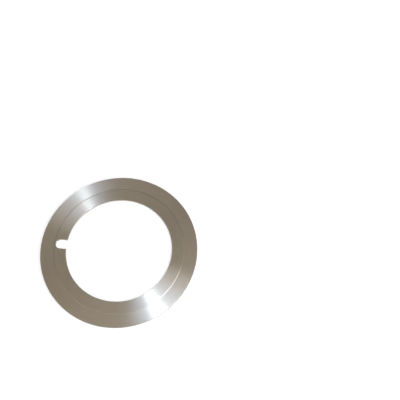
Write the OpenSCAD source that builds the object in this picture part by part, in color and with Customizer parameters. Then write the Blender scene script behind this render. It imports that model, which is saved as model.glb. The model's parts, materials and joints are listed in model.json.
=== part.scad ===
// Circular slitter knife: a thin ring of hardened tool steel, turned and ground as one piece.
// A raised land round the bore is clamped between spacers on the slitter's arbor, and a key on
// the arbor drives the ring by its keyway. Outside the land the face is relieved to a thinner rim
// with square edges, which cut against the rim of a second knife.
// It lies on its flat back face at z = 0, with the bore axis on Z and the keyway toward -X.

/* [Cutting rim] */
// Outside diameter over the cutting edges
rim_d = 200; // [190:1:240]
// Depth of the relief, from the land's face down to the rim's face
relief_h = 0.4; // [0.2:0.05:0.6]
// Fillet at the foot of the land, left by the rounded corner of the grinding wheel
relief_fillet = 2; // [1:0.1:3]

/* [Clamping land] */
// Diameter of the raised land that the spacers clamp
land_d = 165; // [164:0.5:180]
// Thickness of the ring across the land
land_t = 3; // [2:0.1:6]

/* [Bore] */
// Bore diameter, which fits the arbor
bore_d = 135; // [120:0.5:135]
// Width of the chamfers on the edges of the bore and the keyway
edge_break = 0.4; // [0.2:0.05:0.6]

/* [Keyway] */
// Width of the keyway between its flanks
key_w = 12; // [8:0.5:14]
// Depth of the keyway, from the bore to the middle of its round bottom
key_depth = 14; // [9:0.5:14]

/* [Hidden] */
$fn = 180;

// How far a cut runs past the face that it opens
overcut = 1;
rim_r = rim_d / 2;
land_r = land_d / 2;
bore_r = bore_d / 2;
rim_t = land_t - relief_h;
// Radial width of the fillet, which is tangent to the rim and ends on the land's edge
fillet_run = sqrt(2 * relief_fillet * relief_h - relief_h * relief_h);
// Distance from the bore axis to the centre of the keyway's round bottom
key_seat = bore_r + key_depth - key_w / 2;

// Path of the grinding wheel that relieves the rim, as radius and height
module relief_path() {
    foot_r = land_r + fillet_run;
    translate([foot_r, rim_t + relief_fillet])
        circle(r = relief_fillet);
    translate([foot_r, rim_t])
        square([rim_r - foot_r + overcut, relief_h + overcut]);
}

// Half of the ring's cross-section, as radius and height
module ring_section() {
    difference() {
        translate([bore_r, 0])
            square([rim_r - bore_r, land_t]);
        relief_path();
        for (edge_z = [0, land_t])
            translate([bore_r, edge_z])
                rotate(45)
                    square(edge_break * sqrt(2), center = true);
    }
}

// Straight slot with one round end, cut through both faces and open to the bore
module keyway_slot() {
    cut_h = land_t + 2 * overcut;
    translate([-key_seat, 0, -overcut])
        cylinder(d = key_w, h = cut_h);
    translate([-key_seat, -key_w / 2, -overcut])
        cube([key_seat, key_w, cut_h]);
}

// Chamfer round the slot's edge on the face at z = 0, opening downward past that face
module keyway_chamfer() {
    half_w = key_w / 2;
    reach = edge_break + overcut;
    translate([-key_seat, 0, -overcut]) {
        cylinder(r1 = half_w + reach, r2 = half_w, h = reach);
        rotate([90, 0, 90])
            linear_extrude(key_seat)
                polygon([
                    [-half_w - reach, 0],
                    [half_w + reach, 0],
                    [half_w, reach],
                    [-half_w, reach]
                ]);
    }
}

module slitter_knife() {
    color([0.63, 0.61, 0.57])
        difference() {
            rotate_extrude()
                ring_section();
            keyway_slot();
            keyway_chamfer();
            translate([0, 0, land_t])
                mirror([0, 0, 1])
                    keyway_chamfer();
        }
}

slitter_knife();
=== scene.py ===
import json
import math

import bmesh
import bpy
from mathutils import Matrix, Vector


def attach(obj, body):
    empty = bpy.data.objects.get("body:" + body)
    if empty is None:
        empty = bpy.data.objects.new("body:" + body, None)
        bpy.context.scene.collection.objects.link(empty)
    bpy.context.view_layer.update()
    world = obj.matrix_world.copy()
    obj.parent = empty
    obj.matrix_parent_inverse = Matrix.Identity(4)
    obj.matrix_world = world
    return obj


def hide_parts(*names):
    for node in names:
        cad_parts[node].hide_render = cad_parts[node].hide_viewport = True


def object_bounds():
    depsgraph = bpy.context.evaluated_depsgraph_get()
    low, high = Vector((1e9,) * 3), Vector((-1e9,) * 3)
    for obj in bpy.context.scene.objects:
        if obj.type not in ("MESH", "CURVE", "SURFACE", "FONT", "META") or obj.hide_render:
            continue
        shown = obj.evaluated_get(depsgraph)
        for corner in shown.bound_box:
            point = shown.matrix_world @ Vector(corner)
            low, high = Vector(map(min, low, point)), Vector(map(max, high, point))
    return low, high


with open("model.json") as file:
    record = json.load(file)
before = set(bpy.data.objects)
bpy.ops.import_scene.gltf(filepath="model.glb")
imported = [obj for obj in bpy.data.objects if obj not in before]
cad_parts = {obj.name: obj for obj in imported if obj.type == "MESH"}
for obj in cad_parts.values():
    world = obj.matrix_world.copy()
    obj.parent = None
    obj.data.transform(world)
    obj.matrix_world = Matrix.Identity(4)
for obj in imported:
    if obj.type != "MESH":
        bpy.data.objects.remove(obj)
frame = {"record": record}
cad_low, cad_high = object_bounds()

# Knife ring: a thin ring of hardened tool steel, turned from one blank and ground on both faces.
# A raised land round the bore is clamped between spacers, a relieved rim outside it does the
# cutting, and a round-bottomed keyway takes the drive from the arbor.
mm = 0.001
bore_mount = next(m for m in frame["record"]["mounts"] if m["name"] == "bore")
bore_r = bore_mount["dims"]["r_mm"] * mm
rim_r = cad_high.x
land_t = cad_high.z
land_r = 82.5 * mm
relief_h = 0.4 * mm
relief_fillet = 2 * mm
edge_break = 0.4 * mm
key_w = 12 * mm
key_depth = 14 * mm
rim_t = land_t - relief_h
fillet_run = math.sqrt(2 * relief_fillet * relief_h - relief_h ** 2)
fillet_turn = math.acos(1 - relief_h / relief_fillet)
foot_r = land_r + fillet_run
key_seat = bore_r + key_depth - key_w / 2
# The cutting edges are honed by this much
hone = 0.1 * mm
# A ring of edges this far from the fillet keeps the rim's shading flat
flat_guard = 0.2 * mm
# Points closer than this are one point
weld = 0.01 * mm
ring_steps = 288
fillet_steps = 10
slot_steps = 32
# A face stands upright or lies flat where its normal's height is below or above these
upright_z = 0.1
flat_z = 0.99
# Shares of the baked finish's height that the faces of the ring take up
top_band = (0.005, 0.435)
back_band = (0.445, 0.875)
rim_band = (0.885, 0.915)
bore_band = (0.925, 0.955)
slot_band = (0.965, 0.995)


def wire(bm, points):
    """Joins points in the XZ plane by edges and returns their vertices."""
    corners = [bm.verts.new((r, 0, z)) for r, z in points]
    for start, end in zip(corners, corners[1:]):
        bm.edges.new((start, end))
    return corners


def mesh_object(name, bm):
    """Closes a bmesh into a new object at the origin."""
    mesh = bpy.data.meshes.new(name)
    bm.to_mesh(mesh)
    bm.free()
    made = bpy.data.objects.new(name, mesh)
    bpy.context.scene.collection.objects.link(made)
    return made


def lay_out(bm, wall_axis, inner_band, outer_band):
    """Maps the faces to bands that run round the ring, so that a baked finish follows its lay."""
    layout = bm.loops.layers.uv.new("OFBake")
    for face in bm.faces:
        upright = abs(face.normal.z) < upright_z
        axis = wall_axis if upright else Vector((0, 0, 0))
        middle = (face.calc_center_median() - axis).xy
        if upright:
            band_low, band_high = inner_band if middle.length < land_r else outer_band
        else:
            band_low, band_high = top_band if face.normal.z > 0 else back_band
        for loop in face.loops:
            arm = (loop.vert.co - axis).xy
            turn = math.atan2(middle.y, middle.x) + math.atan2(middle.cross(arm), middle.dot(arm))
            if upright:
                across = loop.vert.co.z / land_t
            else:
                across = (arm.length - bore_r) / (rim_r - bore_r)
            loop[layout].uv = (turn / math.tau + 0.5, band_low + across * (band_high - band_low))


# The section starts as corners, and the wheel's rounded corner leaves an arc at the land's foot
bm = bmesh.new()
section = wire(bm, [
    (land_r, land_t),
    (bore_r + edge_break, land_t),
    (bore_r, land_t - edge_break),
    (bore_r, edge_break),
    (bore_r + edge_break, 0),
    (rim_r - hone, 0),
    (rim_r, hone),
    (rim_r, rim_t - hone),
    (rim_r - hone, rim_t),
    (foot_r + flat_guard, rim_t),
    (foot_r, rim_t),
])
bmesh.ops.spin(
    bm, geom=[section[-1]], cent=(foot_r, 0, rim_t + relief_fillet), axis=(0, 1, 0),
    angle=fillet_turn, steps=fillet_steps,
)
bmesh.ops.remove_doubles(bm, verts=bm.verts, dist=weld)
bmesh.ops.spin(
    bm, geom=bm.verts[:] + bm.edges[:], cent=(0, 0, 0), axis=(0, 0, 1),
    angle=math.tau, steps=ring_steps, use_merge=True,
)
bmesh.ops.recalc_face_normals(bm, faces=bm.faces)
lay_out(bm, Vector((0, 0, 0)), bore_band, rim_band)
knife = mesh_object("ground_knife_ring", bm)

# The slot cutter is one flank with its two chamfers, swept round the slot's end and on to the bore
overcut = 1 * mm
flare = key_w / 2 + edge_break + overcut
bm = bmesh.new()
flank = wire(bm, [
    (-flare, -overcut),
    (-key_w / 2, edge_break),
    (-key_w / 2, land_t - edge_break),
    (-flare, land_t + overcut),
])
bmesh.ops.rotate(bm, verts=flank, cent=(0, 0, 0), matrix=Matrix.Rotation(-math.pi / 2, 3, "Z"))
bmesh.ops.translate(bm, verts=flank, vec=(-key_seat, 0, 0))
bmesh.ops.spin(
    bm, geom=bm.verts[:] + bm.edges[:], cent=(-key_seat, 0, 0), axis=(0, 0, 1),
    angle=math.pi, steps=slot_steps,
)
for y_side in (-1, 1):
    ends = [
        edge for edge in bm.edges
        if all(abs(v.co.x + key_seat) < weld and v.co.y * y_side > 0 for v in edge.verts)
    ]
    run = bmesh.ops.extrude_edge_only(bm, edges=ends)["geom"]
    moved = [part for part in run if isinstance(part, bmesh.types.BMVert)]
    bmesh.ops.translate(bm, verts=moved, vec=(key_seat, 0, 0))
bmesh.ops.holes_fill(bm, edges=[edge for edge in bm.edges if edge.is_boundary])
bmesh.ops.recalc_face_normals(bm, faces=bm.faces)
lay_out(bm, Vector((-key_seat, 0, 0)), slot_band, slot_band)
cutter = mesh_object("cutter", bm)
slot = knife.modifiers.new("slot", "BOOLEAN")
slot.operation = "DIFFERENCE"
slot.solver = "EXACT"
slot.object = cutter
depsgraph = bpy.context.evaluated_depsgraph_get()
knife.data = bpy.data.meshes.new_from_object(knife.evaluated_get(depsgraph))
knife.modifiers.clear()
bpy.data.objects.remove(cutter)


class Signal:
    """An output socket of a shader, with arithmetic that adds Math nodes."""

    def __init__(self, tree, socket=None):
        self.tree = tree
        self.socket = socket

    def node(self, kind, settings=None, sockets=None, output=0):
        """Adds a node, sets it up, feeds its sockets and returns one of its outputs."""
        made = self.tree.nodes.new(kind)
        for name, value in (settings or {}).items():
            setattr(made, name, value)
        for name, value in (sockets or {}).items():
            if isinstance(value, Signal):
                self.tree.links.new(value.socket, made.inputs[name])
            else:
                made.inputs[name].default_value = value
        return Signal(self.tree, made.outputs[output] if made.outputs else None)

    def other(self, output):
        """Another output of the same node."""
        return Signal(self.tree, self.socket.node.outputs[output])

    def math(self, operation, first, second=0.0):
        return self.node("ShaderNodeMath", {"operation": operation}, {0: first, 1: second})

    def mix(self, first, second):
        """A colour between two others, by this signal."""
        return self.node("ShaderNodeMix", {"data_type": "RGBA"}, {0: self, 6: first, 7: second}, 2)

    def ramp(self, low, high):
        """Rises from 0 to 1 as this signal goes from one value to another."""
        limits = {"Value": self, "From Min": low, "From Max": high}
        return self.node("ShaderNodeMapRange", sockets=limits)

    def __add__(self, other):
        return self.math("ADD", self, other)

    def __sub__(self, other):
        return self.math("SUBTRACT", self, other)

    def __rsub__(self, other):
        return self.math("SUBTRACT", other, self)

    def __mul__(self, other):
        return self.math("MULTIPLY", self, other)

    def __truediv__(self, other):
        return self.math("DIVIDE", self, other)

    def __rtruediv__(self, other):
        return self.math("DIVIDE", other, self)

    __radd__ = __add__
    __rmul__ = __mul__


# Grinding lines: how many cross a metre of radius, how soon they break off round the ring, which
# part of the noise counts as cut, how far a cut darkens and roughens the steel, and its depth
lines_per_m = 2600
line_breaks = 6
cut_range = (0.4, 0.7)
cut_share = 0.16
cut_middle = 0.4
cut_rough = 0.03
cut_depth = 1e-6
cut_colour = (0.16, 0.155, 0.145, 1)
# Faint patches, by their number in a metre
patches_per_m = 22
patch_middle = 0.5
patch_rough = 0.04
# Edges that handling has rubbed smooth, with a painted highlight that brightens their colour, where
# the patches let it
rubbed_highlit_edge_w = 1.2 * mm
rubbed_highlit_edge_range = (0.35, 0.6)
rubbed_edge_highlight_share = 0.5
rubbed_smooth = 0.03
rubbed_edge_highlight_colour = (0.70, 0.69, 0.67, 1)
# A quarter of a turn from the shader's own tangent, the grain runs round the ring
along_ring = 0.25


def ground_steel(name, bright, dull, lay_turn, roughness, anisotropy):
    """Steel ground by a wheel that left fine lines round the ring, turned by lay_turn from true."""
    material = bpy.data.materials.new(name)
    material.use_nodes = True
    tree = material.node_tree
    tree.nodes.clear()
    place = Signal(tree).node("ShaderNodeTexCoord", output="Object")
    x = place.node("ShaderNodeSeparateXYZ", sockets={"Vector": place})
    y = x.other("Y")
    radius = x.math("SQRT", x * x + y * y)
    around = place.node("ShaderNodeCombineXYZ", sockets={
        "X": (radius + x.other("Z")) * lines_per_m,
        "Y": x / radius * line_breaks,
        "Z": y / radius * line_breaks,
    })
    lines = place.node("ShaderNodeTexNoise", sockets={
        "Vector": around, "Scale": 1.0, "Detail": 3.0, "Roughness": 0.6,
    })
    patches = place.node("ShaderNodeTexNoise", sockets={
        "Vector": place, "Scale": patches_per_m, "Detail": 4.0, "Roughness": 0.55,
    })
    cut = lines.ramp(*cut_range)
    rim_edge = radius.ramp(rim_r - rubbed_highlit_edge_w, rim_r)
    bore_edge = radius.ramp(bore_r + rubbed_highlit_edge_w, bore_r)
    # Mask of the edges: handling rubs them smoother, and their colour carries a painted highlight
    rubbed_highlit_edges = radius.math("MAXIMUM", rim_edge, bore_edge) * patches.ramp(*rubbed_highlit_edge_range)
    tone = patches.mix(bright, dull)
    tone = (cut * cut_share).mix(tone, cut_colour)
    # Painted highlight: the edges' colour is brightened toward pale steel, standing in for light
    # the edges catch
    tone = (rubbed_highlit_edges * rubbed_edge_highlight_share).mix(tone, rubbed_edge_highlight_colour)
    uneven = (cut - cut_middle) * cut_rough + (patches - patch_middle) * patch_rough
    bump = place.node("ShaderNodeBump", sockets={
        "Strength": 1.0, "Distance": cut_depth, "Height": lines,
    })
    surface = place.node("ShaderNodeBsdfPrincipled", sockets={
        "Base Color": tone,
        "Metallic": 1.0,
        "Roughness": roughness + uneven - rubbed_highlit_edges * rubbed_smooth,
        "Anisotropic": anisotropy,
        "Anisotropic Rotation": along_ring + lay_turn / 360,
        "Normal": bump,
    })
    place.node("ShaderNodeOutputMaterial", sockets={"Surface": surface})
    return material


land_bright = (0.61, 0.60, 0.58, 1)
land_dull = (0.555, 0.545, 0.525, 1)
rim_bright = (0.63, 0.62, 0.60, 1)
rim_dull = (0.575, 0.565, 0.545, 1)
land_steel = ground_steel(
    "ground_land_steel", land_bright, land_dull, lay_turn=-0.2, roughness=0.335, anisotropy=1.0,
)
rim_steel = ground_steel(
    "ground_rim_steel", rim_bright, rim_dull, lay_turn=1.5, roughness=0.335, anisotropy=1.0,
)
wall_steel = ground_steel(
    "turned_edge_steel", land_bright, land_dull, lay_turn=0, roughness=0.34, anisotropy=0.6,
)
steels = [land_steel, rim_steel, wall_steel]
for steel in steels:
    knife.data.materials.append(steel)
sharp_turn = math.radians(20)
bm = bmesh.new()
bm.from_mesh(knife.data)
for face in bm.faces:
    face.smooth = True
    middle = face.calc_center_median()
    out = math.hypot(middle.x, middle.y)
    flat = abs(face.normal.z) > flat_z
    if flat and out < land_r:
        steel = land_steel
    elif flat or land_r < out < foot_r + flat_guard:
        steel = rim_steel
    else:
        steel = wall_steel
    face.material_index = steels.index(steel)
bm.to_mesh(knife.data)
bm.free()
knife.data.set_sharp_from_angle(angle=sharp_turn)
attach(knife, "root")
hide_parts("slitter_knife")

# Floor: a wide round sheet of matt white paper that the knife lies on, with its far edge curled up.
# It looks white to the camera and in the steel, and keeps the knife's shadow.
floor_r = 3.2
curl_r = 1.0
curl_steps = 12
floor_steps = 96
# The sheet lies this far below the knife, so that their faces don't share a plane
floor_gap = 0.02 * mm
paper_colour = (0.82, 0.82, 0.82, 1)
# The sheet's own white, near the knife and far from it, and how much of it the steel mirrors
near_white = (0.34, 0.37, 0.42, 1)
far_white = (0.75, 0.79, 0.84, 1)
near_reach = 0.12
far_reach = 0.7
mirrored_share = 0.65
bm = bmesh.new()
sheet_line = wire(bm, [(0, -floor_gap), (floor_r, -floor_gap)])
bmesh.ops.spin(
    bm, geom=[sheet_line[-1]], cent=(floor_r, 0, curl_r - floor_gap), axis=(0, 1, 0),
    angle=-math.pi / 2, steps=curl_steps,
)
bmesh.ops.spin(
    bm, geom=bm.verts[:] + bm.edges[:], cent=(0, 0, 0), axis=(0, 0, 1),
    angle=math.tau, steps=floor_steps, use_merge=True,
)
bmesh.ops.remove_doubles(bm, verts=bm.verts, dist=weld)
bmesh.ops.recalc_face_normals(bm, faces=bm.faces)
floor = mesh_object("paper_floor", bm)
for face in floor.data.polygons:
    face.use_smooth = True
paper = bpy.data.materials.new("white_paper")
paper.use_nodes = True
paper.node_tree.nodes.clear()
seen = Signal(paper.node_tree).node("ShaderNodeLightPath", output="Is Camera Ray")
for ray in ("Is Glossy Ray", "Is Transmission Ray"):
    seen = seen.math("MAXIMUM", seen, mirrored_share * seen.node("ShaderNodeLightPath", output=ray))
place = seen.node("ShaderNodeTexCoord", output="Object")
reach = seen.node("ShaderNodeVectorMath", {"operation": "LENGTH"}, {0: place}, "Value")
far = reach.ramp(near_reach, far_reach)
sheet = seen.node("ShaderNodeBsdfPrincipled", sockets={
    "Base Color": paper_colour,
    "Roughness": 0.9,
    "Specular IOR Level": 0.1,
    "Emission Color": far.mix(near_white, far_white),
    "Emission Strength": seen,
})
seen.node("ShaderNodeOutputMaterial", sockets={"Surface": sheet})
floor.data.materials.append(paper)

# Studio light: a warm room that is darker behind the knife, a panel overhead, a small lamp in a
# cool window that draws the bright fans, and a broad soft box on the right that lights the land's
# shoulder. The lamps hang round the knife and face it.
room_colour = (0.545, 0.42, 0.288, 1)
behind_colour = (0.045, 0.036, 0.027, 1)
behind = Vector((-0.36, 0.935, 0)).normalized()
# The room is darkest from this share of the way toward the back
darkest_at = 0.65
world = bpy.data.worlds.new("room")
world.use_nodes = True
world.node_tree.nodes.clear()
toward = Signal(world.node_tree).node("ShaderNodeTexCoord", output="Generated")
turned = toward.node(
    "ShaderNodeVectorMath", {"operation": "DOT_PRODUCT"}, {0: toward, 1: behind}, "Value",
)
depth = toward.node("ShaderNodeMapRange", {"interpolation_type": "SMOOTHSTEP"}, {
    "Value": turned, "From Min": 0.0, "From Max": darkest_at,
})
room = toward.node("ShaderNodeBackground", sockets={"Color": depth.mix(room_colour, behind_colour)})
toward.node("ShaderNodeOutputWorld", sockets={"Surface": room})
bpy.context.scene.world = world


def soft_lamp(name, toward, distance, width, height, power, colour):
    """An oval lamp that hangs in one direction from the knife and faces it."""
    lamp = bpy.data.lights.new(name, "AREA")
    lamp.shape = "ELLIPSE"
    lamp.size = width
    lamp.size_y = height
    lamp.energy = power
    lamp.color = colour
    hung = bpy.data.objects.new(name, lamp)
    direction = Vector(toward).normalized()
    hung.location = direction * distance
    hung.rotation_euler = direction.to_track_quat("Z", "Y").to_euler()
    bpy.context.scene.collection.objects.link(hung)


soft_lamp(
    "key_lamp", toward=(0.279, -0.22, 1), distance=1.6, width=0.05, height=0.05,
    power=5.55, colour=(0.87, 0.95, 1.0),
)
soft_lamp(
    "side_box", toward=(0.66, -0.19, 0.67), distance=1.2, width=0.68, height=0.8,
    power=3.45, colour=(1.0, 1.0, 1.0),
)
soft_lamp(
    "overhead_panel", toward=(0.063, -0.012, 1), distance=1.2, width=1.2, height=1.2,
    power=1.15, colour=(0.98, 1.0, 0.92),
)
soft_lamp(
    "cool_window", toward=(0.22, -0.155, 1), distance=1.2, width=0.5, height=0.5,
    power=2.1, colour=(0.58, 0.74, 1.0),
)

# Camera: looks down on the knife from the front, with the ring low and to the left of the frame.
# The lens is a short telephoto for the sensor's width.
elevation = math.radians(67.5)
azimuth = math.radians(5.55)
stand_off = 822 * mm
aim = Vector((96.2 * mm, 78.7 * mm, 0))
back = Vector((
    math.sin(azimuth) * math.cos(elevation),
    -math.cos(azimuth) * math.cos(elevation),
    math.sin(elevation),
))
lens = bpy.data.cameras.new("camera")
lens.lens = 56
lens.sensor_width = 36
camera = bpy.data.objects.new("camera", lens)
camera.location = aim + back * stand_off
camera.rotation_euler = back.to_track_quat("Z", "Y").to_euler()
bpy.context.scene.collection.objects.link(camera)
bpy.context.scene.camera = camera
bpy.context.scene.view_settings.view_transform = "Standard"
